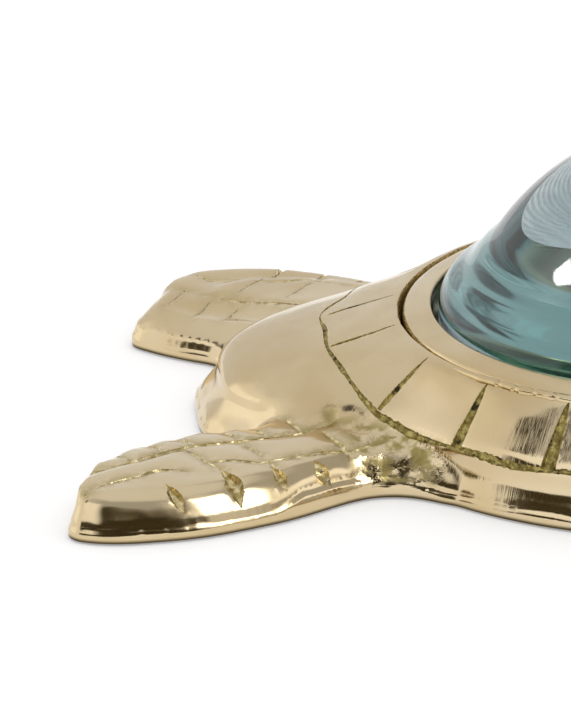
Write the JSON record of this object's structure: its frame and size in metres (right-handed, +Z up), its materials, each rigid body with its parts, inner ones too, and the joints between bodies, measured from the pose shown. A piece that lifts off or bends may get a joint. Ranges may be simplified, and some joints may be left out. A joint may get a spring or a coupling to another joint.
{
  "type": "turtle figurine",
  "caption": "Cast brass sea turtle figurine with a solid tinted glass dome that sits loose in a turned bezel in its back, standing flat on thin felt.",
  "frame": {"origin": "on the table under the glass dome's axis, at the middle of the figurine's length and width", "axes": "+X towards the turtle's head, +Y towards its left flippers, +Z up through the dome"},
  "size_m": [0.1605, 0.148, 0.0394],
  "materials": {
    "cast_brass": "sand cast, polished by hand, with carved lines left rough",
    "turned_brass": "turned and polished",
    "tinted_glass": "clear, tinted blue-green, fire polished",
    "seat_rubber": "matte",
    "felt": "pressed felt"
  },
  "bodies": {
    "turtle": {"turtle_casting": "cast_brass", "bezel_ring": "turned_brass", "seat_washer": "seat_rubber", "base_felt": "felt", "felt_pad_hind_left": "felt", "felt_pad_hind_right": "felt", "felt_pad_front_left": "felt", "felt_pad_front_right": "felt"},
    "dome": {"glass_dome": "tinted_glass"}
  },
  "joints": [
    {"name": "dome_lift", "type": "slide", "parent": "turtle", "child": "dome", "axis": [0, 0, 1], "range_m": [0, 0.04]}
  ]
}
